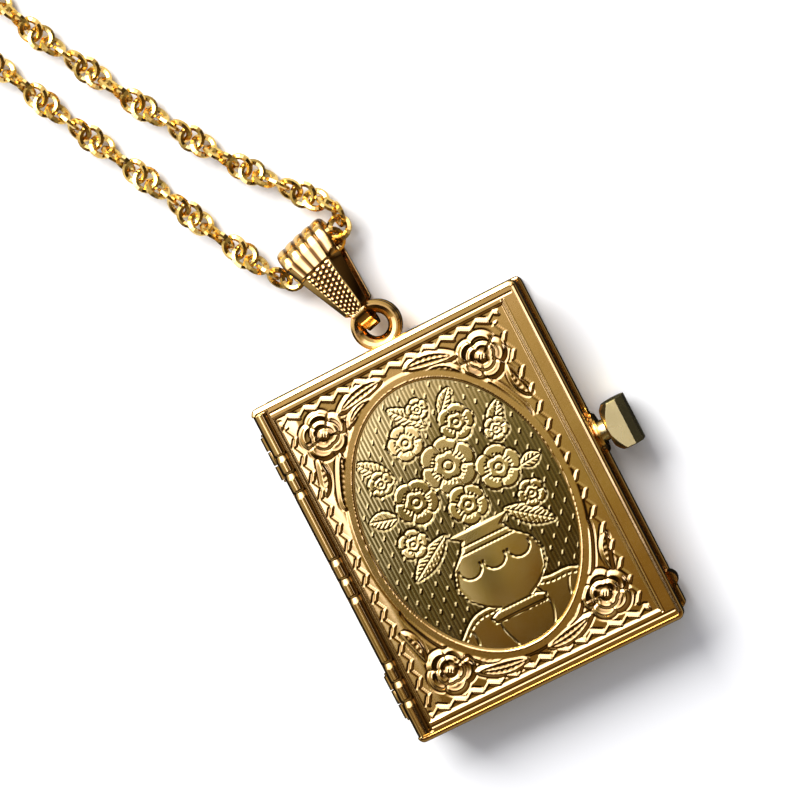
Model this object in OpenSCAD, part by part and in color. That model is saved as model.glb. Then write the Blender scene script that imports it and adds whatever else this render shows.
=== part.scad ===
/* [Locket] */
// Width of the cover, from the spine to the fore edge
cover_w = 25.4; // [24:0.1:27]
// Height of the cover
cover_h = 32.0; // [31:0.1:34]
// Thickness of the closed locket
locket_t = 6.0; // [5.8:0.1:7]
// Thickness of the sheet of the case
sheet_t = 0.5; // [0.4:0.05:0.6]
// How far the walls stand back from the rims
wall_inset = 0.5; // [0.4:0.05:0.6]
// Thickness of the walls
wall_t = 0.6; // [0.5:0.05:0.7]
// Height of the back rim
back_rim_h = 0.9; // [0.7:0.05:1.1]
// Depth of the cover, from its skirt to its rim
cover_d = 1.2; // [1.1:0.05:1.3]
// Gap between the cover and the walls
seam_gap = 0.1; // [0.05:0.05:0.15]

/* [Hinges] */
// Outer diameter of the knuckles
knuckle_d = 1.2; // [1.1:0.05:1.3]
// Diameter of the hinge pins
pin_d = 0.5; // [0.4:0.05:0.55]
// Radial clearance of the pins in the knuckles
pin_clear = 0.05; // [0.03:0.01:0.08]
// Length of each hinge
hinge_len = 4.0; // [3.8:0.1:4.4]
// Distance of each hinge from the middle of the spine
hinge_y = 11.5; // [11:0.1:12]

/* [Button] */
// Width of the head of the push button
head_w = 4.2; // [4:0.1:4.6]
// Height of the head of the push button
head_h = 3.9; // [3.5:0.1:4]
// Travel of the push button
push_travel = 0.5; // [0.3:0.05:0.6]
// Place of the push button along the fore edge
button_y = 0.9; // [0:0.1:1.5]

/* [Ring and bail] */
// Outer diameter of the soldered ring
ring_d = 4.3; // [4.2:0.1:4.4]
// Height of the soldered ring
ring_h = 2.0; // [1.8:0.1:2]
// Length of the bail
bail_len = 10.2; // [10.1:0.1:10.3]
// Width of the bail at its top
bail_top_w = 4.9; // [4.6:0.1:4.9]
// Width of the bail just above the ring
bail_neck_w = 2.4; // [2.2:0.1:2.6]
// Width of its tongue in the ring
bail_low_w = 1.1; // [1:0.1:1.1]
// Lean of the bail to the spine side, in degrees
bail_lean = 15; // [14:0.5:16]

/* [Chain] */
// Outer diameter of the twisted chain
chain_d = 2.4; // [2.2:0.1:2.4]

/* [Hidden] */
$fn = 48;
gold = [0.83, 0.62, 0.24];
pale_gold = [0.90, 0.76, 0.42];

// Heights of the case above the surface that it lies on
cover_z = locket_t - cover_d;
wall_top = cover_z - seam_gap;
mid_z = (back_rim_h + wall_top) / 2;
// How much smaller the back plate is than the cover on each side
back_step = 0.1;
back_edge_r = 0.25;
// Half sizes of the walls of the case, outside and inside
wall_x = cover_w / 2 - back_step - wall_inset;
wall_y = cover_h / 2 - back_step - wall_inset;
inner_x = wall_x - wall_t;
inner_y = wall_y - wall_t;
corner_r = 0.6;
// Thumb lug near the lower corner of the fore edge
lug_x = 12.35;
lug_y = -13;
lug_r = 0.8;
lug_low = 1.4;
lug_h = 1.6;

// Levels of the front face below the top of its rim
panel_drop = 0.1;
field_drop = 0.25;
panel_t = 0.4;
field_z = locket_t - field_drop;
lid_under = field_z - panel_t;
// Edges of the front face: rim, panel and sunk field
rim_w = 0.5;
groove_w = 0.15;
field_left = -11.1;
field_right = 11.0;
field_y = 14.6;

// Spine roll and its cross grooves
roll_r = 0.72;
roll_x = -cover_w / 2 + roll_r + 0.03;
roll_z = locket_t - roll_r + 0.02;
roll_half = cover_h / 2 - 0.6;
spine_grooves = [11.4, 9.7, 7.9, 1.4, -0.4, -2.2, -8.5, -10.3, -12.2];

// Hinge line: the cover turns about it
hinge_x = -cover_w / 2 + 0.2;
hinge_z = wall_top;
knuckle_r = knuckle_d / 2;
knuckle_gap = 0.125;
knuckle_len = (hinge_len - 2 * knuckle_gap) / 3;
knuckle_notch_r = knuckle_r + 0.1;
notch_play = 0.1;
notch_end = 0.35;
notch_mid = 0.07;
pin_r = pin_d / 2;
pin_head_r = 0.45;
pin_head_t = 0.2;

// Push button: bush on the wall, stem, neck and head
button_z = mid_z;
stem_r = 0.95;
stem_clear = 0.05;
bush_r = 1.85;
bush_end_r = 1.7;
bush_len = 1.0;
neck_x = wall_x + bush_len + push_travel + 0.1;
head_x = 14.1;
head_end_x = 16.1;
head_bevel = 0.6;
head_end_h = 2.0;
stop_t = 0.5;
stop_r = 1.6;

// Soldered ring at the top of the case
ring_wall = 1.15;
ring_x = 0.1;
ring_z = mid_z;
ring_y = wall_y + ring_d / 2 + 0.1;
ring_groove = 0.15;

// Bail: a strap loop between a small bend at the ring and a wide roll round the chain
strap_t = 0.45;
bail_foot_x = -0.1;
neck_run = 0.5;
ring_play = 0.3;
roll_play = 0.3;
bail_low_s = -0.1;
foot_r = ring_h / 2 + ring_play + strap_t;
roll_end_r = chain_d / 2 + roll_play + strap_t;
foot_s = bail_low_s + foot_r;
foot_z = ring_z;
head_s = bail_low_s + bail_len - roll_end_r;
head_z = roll_end_r;
bail_slope = atan2(head_z - foot_z, head_s - foot_s);
bail_run = norm([head_s - foot_s, head_z - foot_z]);
strap_turn = acos((foot_r - roll_end_r) / bail_run);
front_angle = bail_slope + strap_turn;
back_angle = bail_slope - strap_turn;
crown = 0.25;
flute_h = 0.12;
bead_h = 0.1;
strap_cols = 6;
bead_rows = 20;
foot_steps = 10;
roll_steps = 14;
flute_rows = 5;

// Route of the chain from the clasp, down one strand, through the bail and back, as [x, y, z]
floor_z = chain_d / 2;
chain_route = [
    [-95, 200, floor_z], [-99, 195, floor_z], [-103, 189, floor_z], [-106, 181, floor_z],
    [-108, 173, floor_z], [-108, 166, floor_z], [-107, 158, floor_z], [-105, 151, floor_z],
    [-102, 144, floor_z], [-99, 137, floor_z], [-95, 131, floor_z], [-91, 125, floor_z],
    [-86, 119, floor_z], [-81, 113, floor_z], [-76, 107, floor_z], [-71, 101, floor_z],
    [-65, 96, floor_z], [-59, 91, floor_z], [-52, 85, floor_z], [-46, 80, floor_z],
    [-40, 75, floor_z], [-33.5, 69.5, floor_z], [-28, 64, floor_z], [-23, 58, floor_z],
    [-19, 51.6, floor_z], [-16.4, 46, floor_z], [-13.8, 40.8, floor_z], [-11.4, 35.8, floor_z],
    [-9.5, 31.6, floor_z], [-8.0, 28.8, 1.3], [-6.9, 26.6, 1.5], [-5.8, 25.0, 1.7],
    [-4.4, 24.4, 2.0], [-2.6, 24.9, 2.0], [-0.8, 25.5, 2.0], [0.6, 26.2, 1.9],
    [1.3, 27.2, 1.7], [1.0, 28.5, 1.5], [-0.2, 29.8, 1.3], [-2.4, 32.4, floor_z],
    [-5.2, 36, floor_z],
    [-7.9, 40.4, floor_z], [-10.5, 44.8, floor_z], [-13.0, 49.4, floor_z], [-15.4, 54, floor_z],
    [-17.6, 60, floor_z], [-19, 68, floor_z], [-20, 76, floor_z], [-20, 84, floor_z],
    [-20, 93, floor_z], [-20, 101, floor_z], [-20, 109, floor_z], [-20, 117, floor_z],
    [-21, 125, floor_z], [-22, 133, floor_z], [-23, 141, floor_z], [-24, 148, floor_z],
    [-26, 156, floor_z], [-28, 163, floor_z], [-31, 170, floor_z], [-34, 177, floor_z],
    [-38, 183, floor_z], [-42, 189, floor_z], [-48, 195, floor_z], [-53, 199, floor_z],
    [-60, 203, floor_z], [-68, 205, floor_z], [-76, 206, floor_z], [-82, 206, floor_z]
];
chain_sides = 8;

// Clasp between the two ends of the route
clasp_from = chain_route[len(chain_route) - 1];
clasp_to = chain_route[0];
clasp_mid = (clasp_from + clasp_to) / 2;
clasp_turn = atan2(clasp_from[1] - clasp_to[1], clasp_from[0] - clasp_to[0]);
clasp_span = norm(clasp_from - clasp_to);
clasp_ring_r = 2.6;
clasp_wire_r = 0.65;
eye_wire_r = 0.35;
eye_r = 0.8;
clasp_gap = 0.3;

// Relief of the front face
oval_x = 0;
oval_y = -0.1;
oval_a = 8.8;
oval_b = 12.1;
oval_sides = 64;
oval_bead = 0.25;
relief_h = 0.2;
zig_pitch = 1.65;
zig_h = 0.5;
zig_stroke = 0.45;
zig_left = -10.3;
zig_right = 9.8;
zig_y = 14.0;
rose_places = [[-7.7, 11.3], [7.4, 11.4], [-7.6, -11.4], [7.5, -11.3]];
rose_r = 1.15;
petal_r = 1.3;
petals = 5;

// Motif of the medallion, cut as shallow raised areas
motif_h = 0.06;
// Flowers of the bouquet: [x, y, radius]
bouquet = [[0, 4.9, 2.1], [-3.3, 2.9, 1.7], [3.3, 3.0, 1.7], [-2.2, 7.4, 1.2], [2.4, 7.3, 1.2], [0, 1.2, 1.5]];

// Points of an arc round a middle, from one angle to another
function arc_points(mid, r, from, to, steps) =
    [for (i = [0:steps]) mid + r * [cos(from + (to - from) * i / steps), sin(from + (to - from) * i / steps)]];

// Cross-section of a slab whose lower and upper edges are rounded
function slab_profile(half, low, high, r_low, r_high) = concat(
    arc_points([half - r_high, high - r_high], r_high, 0, 90, 5),
    arc_points([-half + r_high, high - r_high], r_high, 90, 180, 5),
    arc_points([-half + r_low, low + r_low], r_low, 180, 270, 5),
    arc_points([half - r_low, low + r_low], r_low, 270, 360, 5)
);

function ellipse_points(a, b, n) = [for (i = [0:n - 1]) [a * cos(360 * i / n), b * sin(360 * i / n)]];

// Outline of a raised zigzag strip that runs along X
function zigzag_points(span, pitch, height, stroke) =
    let (steps = 2 * floor(span / pitch), step = span / steps)
    concat(
        [for (i = [0:steps]) [-span / 2 + i * step, (i % 2 == 0 ? -1 : 1) * height / 2 + stroke / 2]],
        [for (i = [steps:-1:0]) [-span / 2 + i * step, (i % 2 == 0 ? -1 : 1) * height / 2 - stroke / 2]]
    );

function unit(v) = v / norm(v);

module round_rect(half_x, half_y, r) {
    square([2 * half_x, 2 * (half_y - r)], center = true);
    square([2 * (half_x - r), 2 * half_y], center = true);
    for (x = [-1, 1], y = [-1, 1])
        translate([x * (half_x - r), y * (half_y - r)])
            circle(r = r);
}

// Slab with rounded lower and upper edges and small upright corners
module soft_slab(half_x, half_y, low, high, r_low, r_high) {
    intersection() {
        translate([0, 0, low])
            linear_extrude(high - low)
                round_rect(half_x, half_y, corner_r);
        rotate([90, 0, 0])
            linear_extrude(3 * half_y, center = true)
                polygon(slab_profile(half_x, low, high, r_low, r_high));
        rotate([90, 0, 90])
            linear_extrude(3 * half_x, center = true)
                polygon(slab_profile(half_y, low, high, r_low, r_high));
    }
}

module box(x0, x1, y0, y1, z0, z1) {
    translate([x0, y0, z0])
        cube([x1 - x0, y1 - y0, z1 - z0]);
}

// Cylinder along the hinge line between two places on Y
module hinge_bar(r, y0, y1) {
    translate([hinge_x, y1, hinge_z])
        rotate([90, 0, 0])
            cylinder(r = r, h = y1 - y0);
}

// Places on Y of the three knuckles of a hinge, counted from 0 to 2
function knuckle_low(mid, i) = mid - hinge_len / 2 + i * (knuckle_len + knuckle_gap);

module case_knuckles(mid) {
    for (i = [0, 2]) {
        low = knuckle_low(mid, i);
        hinge_bar(knuckle_r, low, low + knuckle_len);
        box(hinge_x, -inner_x - wall_t / 2, low, low + knuckle_len, hinge_z - knuckle_r, hinge_z - 0.15);
    }
}

// Soldered ring: rounded inside, with a groove round its outer side
module soldered_ring() {
    r = ring_d / 2;
    edge = 0.2;
    bore = ring_wall - edge - 0.15;
    translate([ring_x, ring_y, ring_z]) {
        rotate_extrude()
            polygon(concat(
                [
                    [r - edge, -ring_h / 2], [r, -ring_h / 2 + edge], [r, -ring_groove],
                    [r - ring_groove, 0], [r, ring_groove], [r, ring_h / 2 - edge], [r - edge, ring_h / 2]
                ],
                [for (i = [0:8])
                    [r - ring_wall + bore - bore * sin(22.5 * i), ring_h / 2 * cos(22.5 * i)]]
            ));
        translate([-0.8, -r - 0.2, -ring_h / 2 + 0.1])
            cube([1.6, 0.7, ring_h - 0.2]);
    }
}

// Turned bush of the push button with a groove round it, along X from the wall
module button_bush() {
    translate([wall_x - 0.1, button_y, button_z])
        rotate([0, 90, 0])
            rotate_extrude()
                polygon([
                    [0, 0], [bush_r, 0], [bush_r, 0.35], [bush_end_r - 0.1, 0.5], [bush_end_r - 0.1, 0.6],
                    [bush_r, 0.75], [bush_r, 0.95], [bush_end_r, bush_len + 0.1], [0, bush_len + 0.1]
                ]);
}

module back_case() {
    color(gold)
        difference() {
            union() {
                difference() {
                    union() {
                        soft_slab(cover_w / 2 - back_step, cover_h / 2 - back_step, 0, back_rim_h, back_edge_r, back_edge_r);
                        box(-wall_x, wall_x, -wall_y, wall_y, 0.3, wall_top);
                    }
                    box(-inner_x, inner_x, -inner_y, inner_y, sheet_t, locket_t);
                    for (side = [-1, 1])
                        hinge_bar(
                            knuckle_notch_r,
                            knuckle_low(side * hinge_y, 1) - notch_mid,
                            knuckle_low(side * hinge_y, 1) + knuckle_len + notch_mid
                        );
                }
                for (side = [-1, 1])
                    case_knuckles(side * hinge_y);
                soldered_ring();
                button_bush();
                translate([lug_x, lug_y, lug_low])
                    cylinder(r = lug_r, h = lug_h);
            }
            for (side = [-1, 1])
                hinge_bar(pin_r + pin_clear, side * hinge_y - hinge_len / 2 - 0.1, side * hinge_y + hinge_len / 2 + 0.1);
            translate([inner_x - 0.5, button_y, button_z])
                rotate([0, 90, 0])
                    cylinder(r = stem_r + stem_clear, h = 3);
        }
}

module hinge_pin(mid) {
    color(pale_gold)
        union() {
            hinge_bar(pin_r, mid - hinge_len / 2 - pin_head_t - 0.05, mid + hinge_len / 2 + pin_head_t + 0.05);
            for (side = [-1, 1])
                hinge_bar(
                    pin_head_r,
                    mid + side * (hinge_len / 2 + 0.05 + pin_head_t / 2) - pin_head_t / 2,
                    mid + side * (hinge_len / 2 + 0.05 + pin_head_t / 2) + pin_head_t / 2
                );
        }
}

module hinge_pin_upper() hinge_pin(hinge_y);

module hinge_pin_lower() hinge_pin(-hinge_y);

// Half loop of the bail's strap as [s, z, angle of the outer side, kind], kind 0 back, 1 front, 2 roll, 3 foot
function bail_arc(mid, r, from, to, steps, kind) = [
    for (i = [0:steps - 1])
        let (a = from + (to - from) * i / steps)
        [mid[0] + (r - strap_t / 2) * cos(a), mid[1] + (r - strap_t / 2) * sin(a), a, kind, i]
];

function bail_line(from, to, angle, steps, kind) = [
    for (i = [0:steps - 1])
        let (p = from + (to - from) * i / steps)
        [p[0], p[1], angle, kind, i]
];

function strap_point(mid, r, angle) = mid + (r - strap_t / 2) * [cos(angle), sin(angle)];

bail_sections = concat(
    bail_arc([head_s, head_z], roll_end_r, back_angle, front_angle, roll_steps, 2),
    bail_line(
        strap_point([head_s, head_z], roll_end_r, front_angle),
        strap_point([foot_s, foot_z], foot_r, front_angle),
        front_angle, bead_rows, 1
    ),
    bail_arc([foot_s, foot_z], foot_r, front_angle, back_angle + 360, foot_steps, 3),
    bail_line(
        strap_point([foot_s, foot_z], foot_r, back_angle),
        strap_point([head_s, head_z], roll_end_r, back_angle),
        back_angle, 4, 0
    )
);

// Half width of the strap at a place along the bail
function bail_half(s) =
    lookup(s, [[foot_s, bail_low_w], [foot_s + neck_run, bail_neck_w], [head_s, bail_top_w]]) / 2;

// How much of the crown and of the flutes a section has
function crown_share(c) =
    c[3] == 1 ? 1 : c[3] == 0 ? 0 : c[3] == 2 ? (c[2] - back_angle) / (front_angle - back_angle) : 1 - c[4] / foot_steps;

function flute_share(c) = c[3] == 2 && c[4] > 4 ? 1 : c[3] == 1 && c[4] < flute_rows ? 1 : 0;

function bead_share(c) = c[3] == 1 && c[4] > flute_rows && c[4] < bead_rows - 1 ? 1 : 0;

// Offset of the strap's outer side at column i of a section
function outer_lift(c, i) =
    strap_t / 2
    + (i % 2 == 1 ? flute_h * flute_share(c) : 0)
    + ((i + c[4]) % 2 == 1 ? bead_h * bead_share(c) : 0);

function strap_drop(c, k) =
    crown * k * k * crown_share(c) * (2 * bail_half(c[0]) - bail_low_w) / (bail_top_w - bail_low_w);

// One section's ring of points: the outer side from left to right, then the inner side back
function strap_ring(c) =
    let (n = 2 * strap_cols, w = bail_half(c[0]), out = [cos(c[2]), sin(c[2])])
    concat(
        [for (i = [0:n])
            let (k = 2 * i / n - 1, d = outer_lift(c, i) - strap_drop(c, k))
            [w * k, c[0] + out[0] * d, c[1] + out[1] * d]],
        [for (i = [n:-1:0])
            let (k = 2 * i / n - 1, d = -strap_t / 2 - strap_drop(c, k) / 2)
            [w * k, c[0] + out[0] * d, c[1] + out[1] * d]]
    );

module bail() {
    rings = len(bail_sections);
    size = 2 * (2 * strap_cols + 1);
    points = [for (c = bail_sections) each strap_ring(c)];
    faces = [
        for (r = [0:rings - 1], i = [0:size - 1])
            let (a = r * size, b = ((r + 1) % rings) * size, j = (i + 1) % size)
            each [[a + i, b + i, b + j], [a + i, b + j, a + j]]
    ];
    color(pale_gold)
        translate([bail_foot_x, ring_y, 0])
            rotate([0, 0, bail_lean])
                polyhedron(points, faces);
}

// Direction of the chain's route at point i
function route_dir(i) = unit(
    chain_route[min(i + 1, len(chain_route) - 1)] - chain_route[max(i - 1, 0)]
);

function chain_ring(i) =
    let (t = route_dir(i), across = unit(cross(t, [0, 0, 1])), up = cross(across, t))
    [for (k = [0:chain_sides - 1])
        let (a = 360 * k / chain_sides)
        chain_route[i] + chain_d / 2 * (across * cos(a) + up * sin(a))];

module chain() {
    count = len(chain_route);
    points = [for (i = [0:count - 1]) each chain_ring(i)];
    sides = [
        for (i = [0:count - 2], k = [0:chain_sides - 1])
            let (a = i * chain_sides, b = a + chain_sides, j = (k + 1) % chain_sides)
            each [[a + k, b + k, b + j], [a + k, b + j, a + j]]
    ];
    caps = [
        [for (k = [0:chain_sides - 1]) k],
        [for (k = [chain_sides - 1:-1:0]) (count - 1) * chain_sides + k]
    ];
    color(gold)
        polyhedron(points, concat(sides, caps));
}

module clasp() {
    eye_x = clasp_span / 2 - clasp_gap - eye_r - eye_wire_r;
    color(gold)
        translate([clasp_mid[0], clasp_mid[1], clasp_wire_r])
            rotate([0, 0, clasp_turn])
                union() {
                    rotate_extrude()
                        translate([clasp_ring_r, 0])
                            circle(r = clasp_wire_r);
                    for (side = [-1, 1]) {
                        translate([side * eye_x, 0, 0])
                            rotate_extrude()
                                translate([eye_r, 0])
                                    circle(r = eye_wire_r);
                        translate([side * (clasp_ring_r + eye_x - eye_r) / 2, 0, 0])
                            rotate([0, 90, 0])
                                cylinder(r = 0.5, h = eye_x - eye_r - clasp_ring_r + 0.3, center = true);
                    }
                }
}

module zigzag(span) {
    linear_extrude(relief_h + 0.1)
        polygon(zigzag_points(span, zig_pitch, zig_h, zig_stroke));
}

module zigzag_border() {
    for (side = [-1, 1])
        translate([(zig_left + zig_right) / 2, side * zig_y, field_z - 0.1])
            zigzag(zig_right - zig_left);
    for (x = [zig_left, zig_right])
        translate([x, 0, field_z - 0.1])
            rotate([0, 0, 90])
                zigzag(2 * zig_y - 1.6);
}

// Pointed leaf whose tips lie on X, where two circles meet
module leaf(length, width) {
    r = (length * length + width * width) / (4 * width);
    translate([0, 0, field_z - 0.1])
        linear_extrude(relief_h)
            intersection() {
                translate([0, r - width / 2])
                    circle(r = r);
                translate([0, width / 2 - r])
                    circle(r = r);
            }
}

module rose() {
    for (i = [0:petals - 1])
        rotate([0, 0, 90 + 360 * i / petals])
            translate([rose_r, 0, field_z + relief_h - petal_r])
                sphere(r = petal_r);
    translate([0, 0, field_z + relief_h - petal_r / 2 + 0.04])
        sphere(r = petal_r / 2);
}

// Rose of a corner with a leaf towards the middle of each side
module corner_ornament(place) {
    toward_x = place[0] > 0 ? -1 : 1;
    toward_y = place[1] > 0 ? -1 : 1;
    translate([place[0], place[1], 0]) {
        rose();
        translate([toward_x * 3.9, -toward_y * 0.9, 0])
            rotate([0, 0, -toward_x * toward_y * 12])
                leaf(3.6, 1.1);
        translate([-toward_x * 0.9, toward_y * 4.0, 0])
            rotate([0, 0, 90 + toward_x * toward_y * 12])
                leaf(3.4, 1.0);
    }
}

module oval_frame() {
    translate([oval_x, oval_y, field_z - 0.1])
        linear_extrude(relief_h + 0.1)
            difference() {
                polygon(ellipse_points(oval_a + oval_bead, oval_b + oval_bead, oval_sides));
                polygon(ellipse_points(oval_a, oval_b, oval_sides));
            }
}

module medallion_motif() {
    for (f = bouquet)
        translate([oval_x + f[0], oval_y + f[1], field_z - 0.1])
            cylinder(r = f[2], h = motif_h + 0.1);
    translate([oval_x, oval_y, field_z - 0.1])
        linear_extrude(motif_h + 0.1)
            polygon([[-1.6, -3.0], [1.6, -3.0], [2.6, -5.2], [2.2, -7.6], [1.0, -9.0], [1.4, -9.8],
                [-1.4, -9.8], [-1.0, -9.0], [-2.2, -7.6], [-2.6, -5.2]]);
}

module spine_roll() {
    difference() {
        translate([roll_x, roll_half, roll_z])
            rotate([90, 0, 0])
                cylinder(r = roll_r, h = 2 * roll_half);
        box(-cover_w, 0, -cover_h, cover_h, 0, cover_z + 0.1);
        for (y = spine_grooves)
            translate([roll_x, y, roll_z])
                rotate([90, 0, 0])
                    rotate_extrude()
                        polygon([[roll_r - 0.18, 0], [roll_r + 0.2, -0.38], [roll_r + 0.2, 0.38]]);
    }
}

// Rim, groove and flat panel of the front face
module cover_plate() {
    difference() {
        soft_slab(cover_w / 2, cover_h / 2, cover_z, locket_t, 0.15, 0.3);
        difference() {
            box(-cover_w / 2 + 1.5, cover_w / 2 - rim_w, -cover_h / 2 + rim_w, cover_h / 2 - rim_w, field_z, locket_t + 1);
            box(
                -cover_w, cover_w / 2 - rim_w - groove_w,
                -cover_h / 2 + rim_w + groove_w, cover_h / 2 - rim_w - groove_w,
                field_z - 1, locket_t - panel_drop
            );
        }
        box(field_left, field_right, -field_y, field_y, field_z, locket_t + 1);
        // Seat of the spine roll
        box(-cover_w, field_left - 0.1, -roll_half, roll_half, roll_z, locket_t + 1);
    }
}

module cover() {
    color(gold)
        difference() {
            union() {
                difference() {
                    union() {
                        cover_plate();
                        spine_roll();
                        oval_frame();
                        medallion_motif();
                        zigzag_border();
                        for (place = rose_places)
                            corner_ornament(place);
                    }
                    box(-inner_x + 0.2, cover_w / 2 - 0.8, -cover_h / 2 + 0.8, cover_h / 2 - 0.8, cover_z - 2, lid_under);
                    for (side = [-1, 1], i = [0, 2]) {
                        low = knuckle_low(side * hinge_y, i);
                        hinge_bar(
                            knuckle_notch_r,
                            low - (i == 0 ? notch_end : notch_play),
                            low + knuckle_len + (i == 2 ? notch_end : notch_play)
                        );
                    }
                }
                for (side = [-1, 1]) {
                    low = knuckle_low(side * hinge_y, 1);
                    hinge_bar(knuckle_r, low, low + knuckle_len);
                }
            }
            for (side = [-1, 1]) {
                low = knuckle_low(side * hinge_y, 1);
                hinge_bar(pin_r + pin_clear, low - 0.05, low + knuckle_len + 0.05);
            }
        }
}

// Head of the push button: a cone under it, four flats and a bevel at its end
module button_head() {
    intersection() {
        rotate([0, 90, 0])
            rotate_extrude()
                polygon([
                    [0, neck_x], [bush_end_r, neck_x], [bush_end_r + 0.2, head_x - 0.25],
                    [head_w / 2 + 0.7, head_x + 0.6], [head_w / 2 + 0.7, head_end_x + 0.1], [0, head_end_x + 0.1]
                ]);
        rotate([90, 0, 0])
            linear_extrude(head_w, center = true)
                polygon([
                    [neck_x - 0.1, -head_h / 2], [head_end_x - head_bevel, -head_h / 2],
                    [head_end_x, -head_end_h / 2], [head_end_x, head_end_h / 2],
                    [head_end_x - head_bevel, head_h / 2], [neck_x - 0.1, head_h / 2]
                ]);
    }
}

module button() {
    color(pale_gold)
        translate([0, button_y, button_z])
            union() {
                button_head();
                translate([inner_x - 0.3, 0, 0])
                    rotate([0, 90, 0])
                        cylinder(r = stem_r, h = neck_x - inner_x + 0.5);
                translate([inner_x - 0.05 - stop_t, 0, 0])
                    rotate([0, 90, 0])
                        cylinder(r = stop_r, h = stop_t);
            }
}

back_case();
hinge_pin_upper();
hinge_pin_lower();
bail();
chain();
clasp();
cover();
button();
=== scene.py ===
import math

import bmesh
import bpy
import numpy as np
from mathutils import Matrix, Vector


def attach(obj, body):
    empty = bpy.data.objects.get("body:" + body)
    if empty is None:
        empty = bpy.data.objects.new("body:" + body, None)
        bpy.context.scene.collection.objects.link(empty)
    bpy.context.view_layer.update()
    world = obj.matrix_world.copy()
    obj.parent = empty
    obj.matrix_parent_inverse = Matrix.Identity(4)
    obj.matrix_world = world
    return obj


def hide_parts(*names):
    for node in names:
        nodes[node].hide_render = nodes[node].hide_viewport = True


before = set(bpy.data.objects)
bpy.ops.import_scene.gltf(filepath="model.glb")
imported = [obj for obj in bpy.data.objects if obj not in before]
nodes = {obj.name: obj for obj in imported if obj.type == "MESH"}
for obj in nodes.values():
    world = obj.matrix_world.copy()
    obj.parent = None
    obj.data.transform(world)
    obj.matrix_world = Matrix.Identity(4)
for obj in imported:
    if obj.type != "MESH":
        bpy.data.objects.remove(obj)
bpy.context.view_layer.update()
print("frame loaded:", ", ".join(sorted(nodes)))

mm = 0.001
scene = bpy.context.scene
# the level direction of the picture, along the surface
levelX, levelY = 0.894, -0.447


def ramp(low, high, value):
    t = np.clip((value - low) / (high - low), 0, 1)
    return t * t * (3 - 2 * t)


def line(distance, half):
    # 1 on a line, 0 at half its width and beyond
    return ramp(0, 1, 1 - np.abs(distance) / half)


def newNode(tree, kind, place, values=None, **settings):
    node = tree.nodes.new("ShaderNode" + kind)
    node.location = place
    for key, value in settings.items():
        setattr(node, key, value)
    for key, value in (values or {}).items():
        node.inputs[key].default_value = value
    return node


def newRange(tree, place, run, to=(0, 1), soft=True):
    values = {"From Min": run[0], "From Max": run[1], "To Min": to[0], "To Max": to[1]}
    way = "SMOOTHSTEP" if soft else "LINEAR"
    return newNode(tree, "MapRange", place, values, interpolation_type=way)


def newMix(tree, place, a=None, b=None, **settings):
    values = {name: (*colour, 1) for name, colour in (("A", a), ("B", b)) if colour}
    return newNode(tree, "Mix", place, values, data_type="RGBA", **settings)


def join(tree, *wires):
    for source, output, target, socket in wires:
        tree.links.new(source.outputs[output], target.inputs[socket])


# fine marks that all the gold shares
marks = {
    "cloudDetail": 4, "cloudRun": (0.35, 0.7), "fineScale": 2500, "fineDetail": 3,
    "grainStrength": 0.5, "grainDepth": 0.002, "waveScale": 180, "waveDetail": 1,
}


def makeHandling():
    # fine scuffs and cloudy handling marks: a colour, a roughness and a height
    tree = bpy.data.node_groups.new("handling", "ShaderNodeTree")
    colour, number = "NodeSocketColor", "NodeSocketFloat"
    inputs = {"Clean": colour, "Worn": colour, "Gloss": number, "Dull": number, "Cloud Scale": number}
    outputs = {"Color": colour, "Roughness": number, "Height": number}
    for way, sockets in (("INPUT", inputs), ("OUTPUT", outputs)):
        for name, kind in sockets.items():
            tree.interface.new_socket(name, in_out=way, socket_type=kind)
    give, take = tree.nodes.new("NodeGroupInput"), tree.nodes.new("NodeGroupOutput")
    give.location, take.location = (-800, 0), (600, 0)
    where = newNode(tree, "TexCoord", (-800, -300))
    cloud = newNode(tree, "TexNoise", (-500, 0), {"Detail": marks["cloudDetail"]})
    fine = newNode(tree, "TexNoise", (-500, -300),
                   {"Scale": marks["fineScale"], "Detail": marks["fineDetail"]})
    spread = newRange(tree, (-250, 0), marks["cloudRun"], soft=False)
    tone = newMix(tree, (100, 150))
    rough = newNode(tree, "Mix", (100, -100))
    join(
        tree,
        (where, "Object", cloud, "Vector"), (where, "Object", fine, "Vector"),
        (give, "Cloud Scale", cloud, "Scale"), (cloud, "Fac", spread, "Value"),
        (spread, "Result", tone, "Factor"), (give, "Clean", tone, "A"), (give, "Worn", tone, "B"),
        (spread, "Result", rough, "Factor"), (give, "Gloss", rough, "A"), (give, "Dull", rough, "B"),
        (tone, "Result", take, "Color"), (rough, "Result", take, "Roughness"), (fine, "Fac", take, "Height"),
    )
    return tree


handling = makeHandling()


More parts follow.
